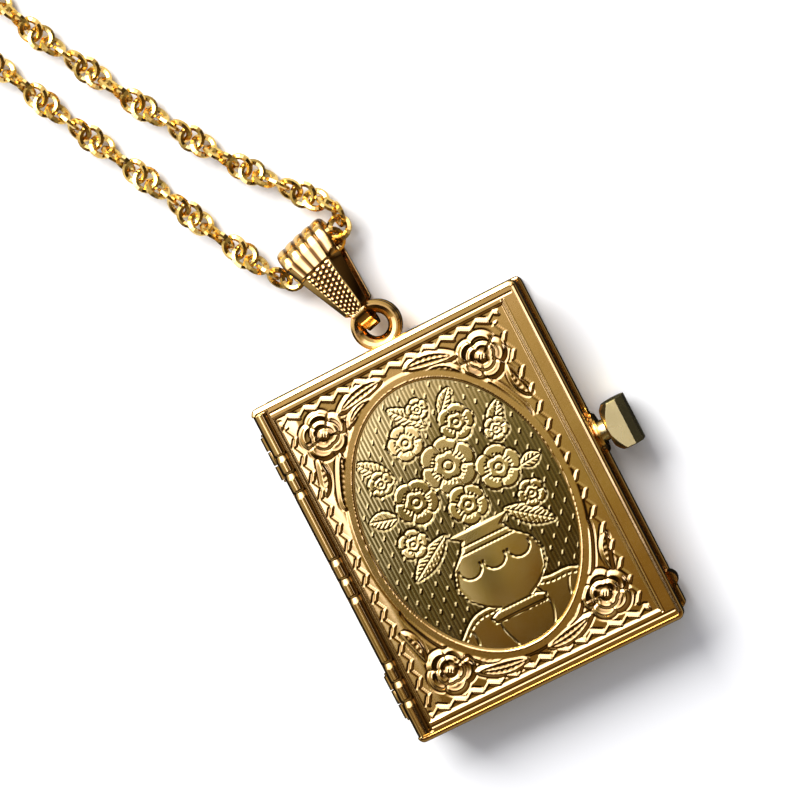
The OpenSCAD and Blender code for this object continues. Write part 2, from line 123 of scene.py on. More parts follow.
def makeGold(name, clean, worn, gloss, dull, cloud, paintedShade=(0.3, 0.17, 0.05), waves=0.02):
    # the last colour is the painted shade that the shade attribute mixes in, waves the height of the slow
    # unevenness in millimetres
    material = bpy.data.materials.new(name)
    material.use_nodes = True
    tree = material.node_tree
    tree.nodes.clear()
    out = newNode(tree, "OutputMaterial", (900, 0))
    shader = newNode(tree, "BsdfPrincipled", (600, 0), {"Metallic": 1})
    wear = newNode(tree, "Group", (0, 0), {
        "Clean": (*clean, 1), "Worn": (*worn, 1), "Gloss": gloss, "Dull": dull, "Cloud Scale": cloud,
    }, node_tree=handling)
    # painted shade: the shade attribute mixes the gold's colour towards the colour of the painted shade
    shade = newNode(tree, "Attribute", (0, 300), attribute_name="shade")
    paintedShadeMix = newMix(tree, (300, 200), b=paintedShade)
    where = newNode(tree, "TexCoord", (-300, -400))
    sway = newNode(tree, "TexNoise", (0, -400), {"Scale": marks["waveScale"], "Detail": marks["waveDetail"]})
    swayBump = newNode(tree, "Bump", (200, -400), {"Strength": 1, "Distance": waves * mm})
    grainBump = newNode(tree, "Bump", (400, -300),
                        {"Strength": marks["grainStrength"], "Distance": marks["grainDepth"] * mm})
    join(
        tree,
        (where, "Object", sway, "Vector"), (sway, "Fac", swayBump, "Height"),
        (swayBump, "Normal", grainBump, "Normal"), (wear, "Height", grainBump, "Height"),
        (shade, "Fac", paintedShadeMix, "Factor"), (wear, "Color", paintedShadeMix, "A"),
        (paintedShadeMix, "Result", shader, "Base Color"), (wear, "Roughness", shader, "Roughness"),
        (grainBump, "Normal", shader, "Normal"), (shader, "BSDF", out, "Surface"),
    )
    return material


coverGold = makeGold("coverGold", clean=(0.9, 0.61, 0.23), worn=(0.86, 0.55, 0.19),
                     gloss=0.08, dull=0.12, cloud=250, paintedShade=(0.22, 0.12, 0.03))
caseGold = makeGold("caseGold", clean=(0.88, 0.57, 0.2), worn=(0.82, 0.5, 0.16),
                    gloss=0.09, dull=0.15, cloud=250)
medallionGold = makeGold("medallionGold", clean=(0.86, 0.67, 0.26), worn=(0.82, 0.62, 0.22),
                         gloss=0.1, dull=0.15, cloud=400, paintedShade=(0.22, 0.17, 0.055), waves=0.01)
bailGold = makeGold("bailGold", clean=(0.9, 0.6, 0.22), worn=(0.82, 0.5, 0.16),
                    gloss=0.1, dull=0.16, cloud=500, paintedShade=(0.13, 0.06, 0.015))
chainGold = makeGold("chainGold", clean=(0.86, 0.6, 0.18), worn=(0.74, 0.46, 0.1),
                     gloss=0.14, dull=0.2, cloud=500)
buttonGold = makeGold("buttonGold", clean=(0.84, 0.72, 0.33), worn=(0.78, 0.65, 0.28),
                      gloss=0.24, dull=0.3, cloud=400)
print("materials made")


def toMesh(name, bm):
    mesh = bpy.data.meshes.new(name)
    bm.to_mesh(mesh)
    bm.free()
    return mesh


def addObject(name, data):
    made = bpy.data.objects.new(name, data)
    scene.collection.objects.link(made)
    return made


def addPiece(name, bm, material, body, replaced=(), smooth=True):
    bmesh.ops.scale(bm, vec=(mm, mm, mm), verts=bm.verts)
    mesh = toMesh(name, bm)
    mesh.polygons.foreach_set("use_smooth", [smooth] * len(mesh.polygons))
    mesh.materials.append(material)
    piece = addObject(name, mesh)
    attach(piece, body)
    if replaced:
        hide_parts(*replaced)
    return piece


def makeGrid(columns, rows):
    # a grid from -1 to 1 and the places of its vertices
    bm = bmesh.new()
    bmesh.ops.create_grid(bm, x_segments=columns, y_segments=rows, size=1)
    places = np.array([vert.co[:] for vert in bm.verts])
    return bm, places[:, 0], places[:, 1]


def shapeGrid(bm, x, y, z, shade):
    # shade is how much painted shade, a deeper tone, each vertex takes
    layer = bm.verts.layers.float.new("shade")
    for vert, place, tone in zip(bm.verts, np.stack([x, y, z], axis=1), np.clip(shade, 0, 1)):
        vert.co = place
        vert[layer] = tone


def roundEdges(bm, edges, width):
    bmesh.ops.bevel(bm, geom=edges, offset=width, offset_type="OFFSET", segments=2, profile=0.5,
                    affect="EDGES", material=-1)


# relief of the front face, in millimetres
face = {
    "halfX": 12.7, "halfY": 16.0, "corner": 0.6, "shade": 0.6,
    # the rim by distance from the outline, then the line along the top and the bottom
    "rimAway": (0, 0.03, 0.1, 0.22, 0.4, 0.44, 0.66), "rimHeight": (5.76, 5.83, 5.89, 5.95, 6.0, 5.83, 5.83),
    "rimWide": 0.62, "mouldingAway": (0.84, 0.88, 0.98, 1.02), "mouldingHeight": (0, -0.03, -0.03, 0),
    # sunk field, its slopes at the edge and towards the spine, and the line and groove at its right
    "field": 5.75, "fieldEdge": 5.82, "fieldSlope": 0.18, "marginX": -9.2, "margin": 0.13,
    "fieldLeft": -11.1, "fieldRight": 11.0, "fieldTop": 14.6,
    "grooveX": (10.9, 11.0, 11.08, 11.2, 11.3), "grooveHeight": (0, 0.02, -0.07, 0.02, 0), "grooveHalf": 14.8,
    # painted shade in the rim's step and in the moulding's line as distance, half width
    "stepShade": (0.45, 0.1), "stepShadeStrength": 1.2, "lineShade": (0.94, 0.09), "shadeTop": 0.5, "shadeX": 12.4,
    # grid, close between the fine stops, with a pair of stops at each crease
    "columns": (30, 240, 40), "rows": (34, 330, 34), "leftInset": 0.03,
    "fineX": (-11.1, 10.8), "fineY": (-14.5, 14.5), "crease": 0.006,
    # skirt, flange and wall of the pocket as distance inside the outline, height
    "skirt": ((0, 4.87), (0.07, 4.8), (0.9, 4.8), (0.9, 5.4)),
}
spine = {
    "x": -11.95, "z": 5.3, "r": 0.72, "half": 15.4, "rollTo": -11.42, "sinkTo": -11.16, "sinkZ": 5.5,
    "grooves": (11.4, 9.7, 7.9, 1.4, -0.4, -2.2, -8.5, -10.3, -12.2),
    "grooveRun": (-0.42, 0.1, 0.2), "grooveDepth": 0.16, "grooveShade": 0.5,
    # painted shade along the roll's outer and right flanks as start x, full x, strength
    "paintedShadeRuns": ((-12.22, -12.42, 1.7), (-11.85, -11.7, 1.3)),
}
oval = {
    "x": 0.0, "y": -0.1, "a": 8.8, "b": 12.1, "bandA": 9.8, "bandB": 13.2, "band": 5.79, "floor": 5.5,
    "bandSlope": 0.985, "lipReach": (1.0, 1.016), "lipZ": (5.56, 5.81), "lipTo": 1.02, "holeReach": 0.96,
}
hinge = {
    "x": -12.5, "z": 4.7, "middles": (-11.5, 11.5), "knuckleR": 0.6, "knuckleHalf": 0.62, "sides": 32,
    "bevel": 0.06, "archR": 0.7, "archFrom": 0.66, "archTo": 2.35, "archX": -11.8,
}
# chased line round each raised form
chase = {"foot": 0.03, "away": 0.12, "depth": 0.045, "fullDepth": 0.05}
zigzag = {
    "pitch": 1.65, "half": 0.25, "row": 0.22, "column": 0.14, "thin": 0.08, "height": 0.11, "longShare": 0.56,
    "thinShare": 0.5, "bevel": (-0.02, 0.06), "tilt": 0.4, "grooveDepth": 0.05, "grooveAway": 0.07,
    "grooveHalf": 0.1, "columnTo": 13.4, "rowOver": 0.5,
    "left": -10.3, "right": 9.8, "top": 13.95, "bottom": -14.0,
}
rose = {
    "radius": 1.78, "lobe": 0.36, "lobePower": 0.6, "height": 0.15, "bevel": 0.38, "petals": 5,
    "lean": 0.035, "leanTurn": 2.4, "partHalf": 0.13, "partDepth": 0.09, "partFrom": (0.85, 1.1),
    "inner": 0.98, "innerLobe": 0.24, "innerPetals": 3, "innerTurn": 0.5,
    "innerHeight": 0.06, "innerGroove": 0.09, "arcR": 0.62, "arcHalf": 0.1, "arcDepth": 0.1,
    "strokes": (-0.24, 0, 0.24), "strokeHalf": 0.09, "strokeEnd": (0.3, 0.22), "strokeHeight": 0.08,
    "hollow": 0.04, "hollowShade": 0.7, "clear": 0.1,
}
roses = ((-7.75, 11.35, 0.3), (7.35, 11.3, 1.2), (-7.4, -11.4, 2.1), (7.5, -11.3, 2.9))  # x, y, turn
leaf = {
    "height": 0.12, "bevel": 0.3, "bend": 0.25, "hollow": 0.08, "vein": 0.06, "veinHalf": 0.12,
    "rib": 0.012, "ribPitch": 0.5, "ribLean": 0.6, "hollowShade": 0.9,
}
# leaves of a corner as base x, base y, tip x, tip y, width, taken from the rose towards the middle
leaves = (
    (1.7, 1.0, 6.5, 2.0, 1.15), (2.0, -0.5, 4.9, 1.0, 0.9),
    (0.5, -1.8, -1.3, -6.6, 1.3), (1.6, -1.7, 0.7, -4.9, 0.8), (-1.5, -1.5, -2.3, -4.8, 0.7),
)


def ovalReach(x, y):
    return np.hypot((x - oval["x"]) / oval["a"], (y - oval["y"]) / oval["b"])


def raisedEdge(inside, height, bevel):
    # height of a raised form and of the chased line round it, from the distance inside its outline
    groove = -chase["depth"] * line(inside + chase["away"], chase["away"])
    return height * ramp(-chase["foot"], bevel, inside), groove


def zigzagHeight(along, across, boldFalls, bold):
    # a facet facing the light on the bold strokes, a fine line on the others
    pitch, half, share = zigzag["pitch"], zigzag["half"], zigzag["longShare"]
    phase = along / pitch - np.floor(along / pitch)
    falling = phase < share
    swing = np.where(falling, 1 - 2 * phase / share, 2 * (phase - share) / (1 - share) - 1)
    run = np.where(falling, share, 1 - share) * pitch
    offset = (across - half * swing) * run / np.hypot(run, 2 * half)
    isBold = falling == boldFalls
    width = np.where(isBold, bold, zigzag["thin"])
    height = zigzag["height"] * np.where(isBold, 1, zigzag["thinShare"])
    facet = 1 - zigzag["tilt"] - zigzag["tilt"] * offset / width
    raised = height * ramp(*zigzag["bevel"], width - np.abs(offset)) * facet
    groove = line(offset - width - zigzag["grooveAway"], zigzag["grooveHalf"])
    return raised, -zigzag["grooveDepth"] * groove * isBold


def roseHeight(x, y, turn):
    petals = rose["petals"]
    reach = np.hypot(x, y)
    angle = np.arctan2(y, x) - turn
    cup = np.abs(np.cos(petals / 2 * angle))
    inside = rose["radius"] + rose["lobe"] * cup ** rose["lobePower"] - reach
    raised, groove = raisedEdge(inside, rose["height"], rose["bevel"])
    # each petal leans its own way and is parted from the next
    petal = np.floor(petals * (angle / (2 * math.pi) + 0.5))
    lean = petal * rose["leanTurn"] + turn
    raised += rose["lean"] * (x * np.cos(lean) + y * np.sin(lean)) * ramp(0.1, 0.3, inside)
    parting = line(reach * cup * 2 / petals, rose["partHalf"]) * ramp(*rose["partFrom"], reach)
    raised -= rose["partDepth"] * parting * ramp(0, 0.1, inside)
    # smaller petals inside, with a groove round them
    innerCup = np.abs(np.cos(rose["innerPetals"] / 2 * (angle + rose["innerTurn"])))
    inInner = rose["inner"] + rose["innerLobe"] * innerCup ** rose["lobePower"] - reach
    raised += rose["innerHeight"] * ramp(-0.02, 0.12, inInner)
    raised -= rose["innerGroove"] * line(inInner + 0.1, 0.12)
    # a curled arc and three short strokes in the middle
    arc = line(reach - rose["arcR"], rose["arcHalf"]) * (np.sin(angle - 0.6) > -0.2)
    raised -= rose["arcDepth"] * arc
    strokeEnd = ramp(*rose["strokeEnd"], np.abs(y * levelX - x * levelY))
    for step in rose["strokes"]:
        stroke = line(x * levelX + y * levelY - step, rose["strokeHalf"]) * strokeEnd
        raised += rose["strokeHeight"] * stroke
    # painted shade in the petals' hollows and the middle, as they sink
    hollow = ramp(0.34, 0.55, inside) * ramp(0.0, -0.2, inInner)
    hollow += ramp(0.2, 0.4, inInner) * ramp(0.3, 0.45, reach)
    return raised - rose["hollow"] * hollow, groove, rose["hollowShade"] * hollow


def alongLeaf(x, y, baseX, baseY, tipX, tipY):
    # length of a leaf, share of the way from base to tip, distance beside it
    length = math.hypot(tipX - baseX, tipY - baseY)
    ux, uy = (tipX - baseX) / length, (tipY - baseY) / length
    along = ((x - baseX) * ux + (y - baseY) * uy) / length
    return length, along, (y - baseY) * ux - (x - baseX) * uy


def leafHeight(x, y, *ends, width):
    length, along, across = alongLeaf(x, y, *ends)
    across -= leaf["bend"] * np.sin(math.pi * np.clip(along, 0, 1))
    # the outline is full towards the base and pointed at the tip
    half = width / 2 * np.clip(4.4 * along * (1 - along) ** 0.75, 0, None) ** 0.7
    half = np.where((along > 0) & (along < 1), half, -0.3)
    inside = half - np.abs(across)
    raised, groove = raisedEdge(inside, leaf["height"], leaf["bevel"])
    # hollow inside its bright edges, with a raised vein and short ribs, and painted shade in the hollow
    # beside the vein
    hollow = ramp(0.2, 0.4, inside)
    vein = line(across, leaf["veinHalf"])
    ribs = np.cos(2 * math.pi * (along * length / leaf["ribPitch"] + np.abs(across) / leaf["ribLean"]))
    raised -= leaf["hollow"] * hollow
    raised += leaf["vein"] * vein * hollow
    return raised + leaf["rib"] * ribs * hollow, groove, leaf["hollowShade"] * hollow * (1 - vein)


def fieldHeight(x, y):
    # ornament above the field, with the chased lines round it, and painted shade in both
    raised, groove, shade = np.zeros_like(x), np.zeros_like(x), np.zeros_like(x)

    def lay(form, where=True):
        nonlocal raised, groove, shade
        if len(form) > 2:
            shade = np.where(form[0] >= raised, form[2], shade)
        raised = np.where(where, np.maximum(raised, form[0]), raised)
        groove = np.where(where, np.minimum(groove, form[1]), groove)

    for side in ("left", "right"):
        lay(zigzagHeight(-y, zigzag[side] - x, False, zigzag["column"]), np.abs(y) < zigzag["columnTo"])
    for side in ("top", "bottom"):
        inside = (x > zigzag["left"] - zigzag["rowOver"]) & (x < zigzag["right"] + zigzag["rowOver"])
        lay(zigzagHeight(x, y - zigzag[side], True, zigzag["row"]), inside)
    for roseX, roseY, turn in roses:
        towardX, towardY = -math.copysign(1, roseX), math.copysign(1, roseY)
        # the rose and its leaves stand free of the border
        inRose = roseHeight(x - roseX, y - roseY, turn)
        covered = np.hypot(x - roseX, y - roseY) < rose["radius"] + rose["lobe"] + rose["clear"]
        raised = np.where(covered, 0, raised)
        groove = np.where(covered, 0, groove)
        for *ends, width in leaves:
            lay(leafHeight((x - roseX) * towardX, (y - roseY) * towardY, *ends, width=width))
        lay(inRose)
    flat = raised < chase["foot"]
    return raised + groove * flat, np.where(flat, -groove / chase["fullDepth"], shade / face["shade"])


def cornerPart(x, y):
    # place past the middle of a rounded corner, and where that counts
    pastX = np.abs(x) - (face["halfX"] - face["corner"])
    pastY = np.abs(y) - (face["halfY"] - face["corner"])
    return pastX, pastY, (pastX > 0) & (pastY > 0)


def faceHeight(x, y):
    away = np.minimum(face["halfX"] - np.abs(x), face["halfY"] - np.abs(y))
    pastX, pastY, inCorner = cornerPart(x, y)
    away = np.where(inCorner, face["corner"] - np.hypot(pastX, pastY), away)
    height = np.interp(away, face["rimAway"], face["rimHeight"])
    fromEdge = face["halfY"] - np.abs(y)
    inRim = away > face["rimWide"]
    height += np.where(inRim, np.interp(fromEdge, face["mouldingAway"], face["mouldingHeight"]), 0)
    right = np.abs(y) < face["grooveHalf"]
    height += np.where(right, np.interp(x, face["grooveX"], face["grooveHeight"]), 0)
    inField = (x > face["fieldLeft"]) & (x < face["fieldRight"]) & (np.abs(y) < face["fieldTop"])
    edge = np.minimum(np.minimum(x - face["fieldLeft"], face["fieldRight"] - x), face["fieldTop"] - np.abs(y))
    fieldBase = face["field"] + (face["fieldEdge"] - face["field"]) * ramp(face["fieldSlope"], 0, edge)
    fieldBase -= face["margin"] * ramp(face["marginX"], face["fieldLeft"], x)
    ornament, shade = fieldHeight(x, y)
    height = np.where(inField, fieldBase + ornament, height)
    # painted shade in the rim's step and the moulding's line, weaker at the top
    (stepAt, stepHalf), (lineAt, lineHalf) = face["stepShade"], face["lineShade"]
    rimShade = face["stepShadeStrength"] * line(away - stepAt, stepHalf) + line(fromEdge - lineAt, lineHalf) * inRim
    rimShade *= np.where(y > 0, face["shadeTop"], 1)
    shade = np.where(inField, shade, np.where(np.abs(x) < face["shadeX"], rimShade, 0))
    # polished band round the oval and the wall of its sunk floor
    reach = ovalReach(x, y)
    outer = np.hypot((x - oval["x"]) / oval["bandA"], (y - oval["y"]) / oval["bandB"])
    band = ramp(1.0, oval["bandSlope"], outer)
    height = height * (1 - band) + oval["band"] * band
    shade = shade * (1 - band)
    height = np.where(reach < oval["lipTo"], np.interp(reach, oval["lipReach"], oval["lipZ"]), height)
    height = np.where(reach < 1.0, oval["floor"], height)
    # spine roll with its grooves, and the sunk strip beside it
    notch = np.zeros_like(x)
    for grooveY in spine["grooves"]:
        notch = np.maximum(notch, np.interp(y - grooveY, spine["grooveRun"], (0, 1, 0)))
    radius = spine["r"] - spine["grooveDepth"] * notch
    roll = spine["z"] + np.sqrt(np.clip(radius ** 2 - (x - spine["x"]) ** 2, 0, None))
    onSpine = (np.abs(y) < spine["half"]) & (x < spine["sinkTo"])
    height = np.where(onSpine, np.where(x < spine["rollTo"], roll, spine["sinkZ"]), height)
    # painted shade in the roll's grooves and along its outer and right flanks
    spineShade = spine["grooveShade"] * notch
    for low, high, tone in spine["paintedShadeRuns"]:
        spineShade += tone * ramp(low, high, x)
    return height, np.where(onSpine, spineShade, shade)


def makeStops(bounds, counts):
    last = len(counts) - 1
    return np.concatenate([
        np.linspace(bounds[i], bounds[i + 1], count, endpoint=i == last) for i, count in enumerate(counts)
    ])


def makeCoverFace():
    halfX, halfY = face["halfX"], face["halfY"]
    # a pair of close stops at each corner of the rim keeps it crisp
    away = np.array(face["rimAway"][1:])
    pairs = np.concatenate([away - face["crease"], away + face["crease"]])
    stopsX = makeStops((-halfX + face["leftInset"], *face["fineX"], halfX), face["columns"])
    stopsY = makeStops((-halfY, *face["fineY"], halfY), face["rows"])
    stopsX = np.unique(np.concatenate([stopsX, halfX - pairs]))
    stopsY = np.unique(np.concatenate([stopsY, halfY - pairs, pairs - halfY]))
    columns, rows = len(stopsX) - 1, len(stopsY) - 1
    bm, u, v = makeGrid(columns, rows)
    x = stopsX[np.rint((u + 1) / 2 * columns).astype(int)]
    y = stopsY[np.rint((v + 1) / 2 * rows).astype(int)]
    # pull the square corners of the grid in to the rounded corners
    pastX, pastY, inCorner = cornerPart(x, y)
    shrink = np.maximum(pastX, pastY) / np.maximum(np.hypot(pastX, pastY), 1e-9)
    x = np.where(inCorner, np.sign(x) * (halfX - face["corner"] + pastX * shrink), x)
    y = np.where(inCorner, np.sign(y) * (halfY - face["corner"] + pastY * shrink), y)
    z, shade = faceHeight(x, y)
    shapeGrid(bm, x, y, z, face["shade"] * shade)
    # open under the medallion
    hole = {vert for vert in bm.verts if ovalReach(*vert.co.xy) < oval["holeReach"]}
    doomed = [f for f in bm.faces if all(v in hole for v in f.verts)]
    bmesh.ops.delete(bm, geom=doomed, context="FACES")
    rimEdges = [e for e in bm.edges if e.is_boundary and ovalReach(*e.verts[0].co.xy) > 1.2]
    for offset, level in face["skirt"]:
        made = bmesh.ops.extrude_edge_only(bm, edges=rimEdges)
        fresh = [g for g in made["geom"] if isinstance(g, bmesh.types.BMVert)]
        rimEdges = [g for g in made["geom"] if isinstance(g, bmesh.types.BMEdge) and g.is_boundary]
        for vert in fresh:
            vert.co.z = level
            if offset:
                vert.co.x = math.copysign(min(abs(vert.co.x), halfX - offset), vert.co.x)
                vert.co.y = math.copysign(min(abs(vert.co.y), halfY - offset), vert.co.y)
    # arches over the knuckles of the case
    for vert in bm.verts:
        rise = hinge["archR"] ** 2 - (vert.co.x - hinge["x"]) ** 2
        if vert.co.x < hinge["archX"] and rise > 0:
            for middle in hinge["middles"]:
                if hinge["archFrom"] < abs(vert.co.y - middle) < hinge["archTo"]:
                    vert.co.z = max(vert.co.z, hinge["z"] + math.sqrt(rise))
    bmesh.ops.recalc_face_normals(bm, faces=bm.faces)
    return addPiece("coverFace", bm, coverGold, "cover", ["cover"])


coverFacePiece = makeCoverFace()
print("cover face:", len(coverFacePiece.data.polygons), "faces")


# medallion in the oval: a vase of flowers on a cloth, before a hatched ground
medallion = {
    "level": 5.68, "dome": 0.11, "columns": 270, "rows": 330, "overlap": 0.02, "cutDepth": 0.05,
    "hatchPitch": 0.34, "hatchDepth": 0.004, "dashX": 1.46, "dashY": 0.775, "dashHalf": 0.11,
    # painted shade on the ground, swinging with the hatch and fading towards the top, and in the cut lines
    "dashEnd": (0.22, 0.15), "dashHeight": 0.035, "groundShade": 0.85, "hatchShadeSwing": 0.15,
    "shadeFadeRun": (3, 10), "shadeFadeShare": 0.3, "cutShade": 0.3,
}
cloth = {
    "top": -7.3, "crownX": 1.5, "sag": 0.045, "wave": 0.25, "waveTurn": 1.3, "stitchIn": 0.55,
    "stitchPitch": 0.5, "folds": ((-4.6, 0.5), (-1.3, -0.35), (2.6, 0.4), (5.4, -0.5)),
    "foldTurn": 1.1, "foldHalf": 0.12, "foldFrom": 0.8,
}
# the vase's outline as y and half width, from its foot up
vase = {
    "x": 0.4, "foot": -9.65, "lip": -1.15, "round": 0.0072, "roundX": 8,
    "outline": ((-9.6, 2.4), (-9.0, 2.6), (-8.5, 1.5), (-7.9, 2.6), (-6.8, 3.7), (-5.4, 4.1), (-4.0, 3.6),
                (-2.8, 2.3), (-2.0, 1.9), (-1.2, 3.0)),
    "bands": (-8.7, -2.5, -3.1), "bandHalf": 0.11, "swags": (-1.9, 0.4, 2.7), "swagY": -4.4, "swagR": 1.0,
    "swagTo": -4.2,
}
# flowers of the bouquet as x, y, radius, petals, turn
flowers = (
    (0.5, 4.3, 2.5, 6, 0.2), (-3.4, 2.7, 2.0, 5, 0.9), (4.3, 2.3, 2.0, 5, 0.1), (-1.9, 7.6, 1.6, 5, 0.5),
    (2.8, 7.3, 1.6, 5, 1.1), (0.5, 0.6, 1.8, 5, 0.7), (-5.3, -0.4, 1.35, 5, 0.0), (5.8, -0.9, 1.25, 5, 0.6),
    (-5.4, 5.4, 1.15, 5, 0.3), (5.6, 5.3, 1.1, 5, 0.8), (0.3, 9.7, 1.0, 5, 0.2),
)
# a flower's forms as shares of its radius, its lines in millimetres
flower = {
    "petal": 0.82, "petalCup": 0.18, "lean": 0.02, "leanTurn": 1.9, "inner": 0.42, "innerCup": 0.1,
    "eye": 0.17, "eyeHalf": 0.14, "partHalf": 0.13, "rayFrom": 0.46, "rayTo": 0.62, "rayCount": 11,
}
# sprays of leaves as base x, base y, tip x, tip y, width
sprays = (
    (-4.1, 5.0, -6.7, 8.0, 0.8), (5.0, 4.9, 6.9, 7.6, 0.75), (-5.4, 2.2, -7.9, 2.9, 0.8),
    (0.4, 8.0, -2.1, 10.9, 0.75), (-2.4, -0.8, -6.6, -3.4, 0.85), (3.0, -1.0, 6.7, -3.8, 0.85),
    (6.0, 1.6, 8.0, 1.8, 0.65), (1.8, 8.4, 3.6, 10.3, 0.6),
)
spray = {"power": 0.8, "veinHalf": 0.1, "ribPitch": 0.42, "ribLean": 0.5}


def medallionHeight(x, y):
    # raised forms, the lines cut into them, and their lean
    flat = np.zeros_like(x)
    cut = np.zeros_like(x)
    lean = np.zeros_like(x)

    def raiseForm(inside):
        nonlocal flat
        flat = np.maximum(flat, ramp(-0.05, 0.05, inside))

    def engrave(lines):
        nonlocal cut
        cut = np.maximum(cut, lines)

    def outline(inside, wiggle, half=0.15):
        # a line that swells and thins like one cut by hand
        return line(inside, half) * (0.75 + 0.25 * np.cos(wiggle))

    hem = y - cloth["top"] + cloth["sag"] * (x - cloth["crownX"]) ** 2
    onCloth = cloth["wave"] * np.sin(x * cloth["waveTurn"]) - hem
    raiseForm(onCloth)
    engrave(outline(onCloth, x * 9))
    stitches = np.cos(2 * math.pi * x / cloth["stitchPitch"]) > -0.2
    engrave(0.8 * line(onCloth - cloth["stitchIn"], 0.1) * stitches)
    for foldX, bend in cloth["folds"]:
        fold = x - foldX - bend * np.sin(y * cloth["foldTurn"])
        engrave(line(fold, cloth["foldHalf"]) * (onCloth > cloth["foldFrom"]))
    levels = np.array(vase["outline"])
    halfVase = np.interp(y, levels[:, 0], levels[:, 1], left=-1, right=-1)
    inVase = np.minimum(halfVase - np.abs(x - vase["x"]), np.minimum(y - vase["foot"], vase["lip"] - y))
    raiseForm(inVase)
    cut = np.where(inVase > 0.1, 0, cut)
    engrave(outline(inVase, y * 15))
    lean -= vase["round"] * ((x - vase["x"]) ** 2 - vase["roundX"]) * ramp(0, 0.3, inVase)
    for level in vase["bands"]:
        engrave(line(y - level, vase["bandHalf"]) * (inVase > 0) * (0.6 + 0.4 * np.cos(x * 18)))
    onSwags = (inVase > 0.1) * (y < vase["swagTo"])
    for swagX in vase["swags"]:
        swag = np.hypot(x - swagX, (y - vase["swagY"]) * 1.1) - vase["swagR"]
        turn = np.arctan2(y - vase["swagY"], x - swagX)
        engrave(outline(swag, turn * 12, 0.12) * onSwags)
    for *ends, width in sprays:
        length, along, across = alongLeaf(x, y, *ends)
        half = width * np.sin(np.clip(along, 0, 1) * math.pi) ** spray["power"]
        half = np.where((along > 0) & (along < 1), half, -0.3)
        inside = half - np.abs(across)
        raiseForm(inside)
        cut = cut * (inside < 0.1)
        engrave(outline(inside, along * length * 14))
        engrave(0.7 * line(across, spray["veinHalf"]) * (inside > 0.1))
        ribs = along * length / spray["ribPitch"] - np.abs(across) / spray["ribLean"]
        engrave(0.5 * (np.cos(2 * math.pi * ribs) > 0.75) * (inside > 0.12))
    for index, (flowerX, flowerY, radius, petals, turn) in enumerate(flowers):
        offX, offY = x - flowerX, y - flowerY
        reach = np.hypot(offX, offY)
        angle = np.arctan2(offY, offX) - turn
        cup = np.abs(np.cos(petals / 2 * angle))
        inside = radius * (flower["petal"] + flower["petalCup"] * cup ** rose["lobePower"]) - reach
        raiseForm(inside)
        way = index * flower["leanTurn"]
        lean = np.where(inside > 0, flower["lean"] * (offX * math.cos(way) + offY * math.sin(way)), lean)
        cut = cut * (inside < 0)
        engrave(outline(inside, angle * radius * 12))
        parting = line(reach * cup * 2 / petals, flower["partHalf"]) * (reach > radius * flower["inner"])
        engrave(0.9 * parting * (inside > 0))
        innerCup = np.abs(np.cos(petals / 2 * angle + 0.8))
        inner = radius * (flower["inner"] + flower["innerCup"] * innerCup) - reach
        engrave(outline(inner, angle * radius * 9))
        engrave(0.8 * line(radius * flower["eye"] - reach, flower["eyeHalf"]))
        # short strokes towards the middle of each petal
        rays = np.cos(angle * np.round(radius * flower["rayCount"])) > 0.55
        onRays = (reach > radius * flower["rayFrom"]) * (reach < radius * flower["rayTo"])
        engrave(0.55 * rays * onRays)
    # ground of fine hatching and short bright strokes in staggered rows
    hatch = np.cos(2 * math.pi * x / medallion["hatchPitch"])
    row = np.floor(y / medallion["dashY"])
    shift = np.where(np.mod(row, 2) == 0, 0, medallion["dashX"] / 2)
    dashX = np.mod(x + shift, medallion["dashX"]) - medallion["dashX"] / 2
    dashY = y - (row + 0.5) * medallion["dashY"]
    dash = line(dashX * levelX + dashY * levelY, medallion["dashHalf"])
    dash *= ramp(*medallion["dashEnd"], np.abs(dashY * levelX - dashX * levelY))
    ground = medallion["hatchDepth"] * hatch + medallion["dashHeight"] * dash
    height = (1 - flat) * ground - medallion["cutDepth"] * cut + lean
    # painted shade: the ground is deeper in tone than the raised forms, most in the hatch's troughs and least
    # at the top, and the cut lines are darker too
    tone = 1 - medallion["shadeFadeShare"] * ramp(*medallion["shadeFadeRun"], y)
    tone *= medallion["groundShade"] - medallion["hatchShadeSwing"] * hatch
    shade = (1 - flat) * (1 - dash) * tone + medallion["cutShade"] * cut
    reach = ovalReach(x, y)
    return medallion["level"] - medallion["dome"] * reach ** 3 + height * ramp(0.995, 0.98, reach), shade


def makeMedallion():
    bm, u, v = makeGrid(medallion["columns"], medallion["rows"])
    # a square grid drawn to the oval
    x = oval["x"] + (oval["a"] + medallion["overlap"]) * u * np.sqrt(1 - v * v / 2)
    y = oval["y"] + (oval["b"] + medallion["overlap"]) * v * np.sqrt(1 - u * u / 2)
    shapeGrid(bm, x, y, *medallionHeight(x, y))
    return addPiece("medallion", bm, medallionGold, "cover")


medallionPiece = makeMedallion()
print("medallion:", len(medallionPiece.data.polygons), "faces")


# inside of the cover and its knuckles
lining = {"size": (23.7, 30.3, 0.12), "at": (0.05, 0, 5.41), "bevel": 0.05}


def makeCoverLining():
    bm = bmesh.new()
    bmesh.ops.create_cube(bm, size=1)
    bmesh.ops.scale(bm, vec=lining["size"], verts=bm.verts)
    bmesh.ops.translate(bm, vec=lining["at"], verts=bm.verts)
    roundEdges(bm, bm.edges[:], lining["bevel"])
    addPiece("coverLining", bm, coverGold, "cover")


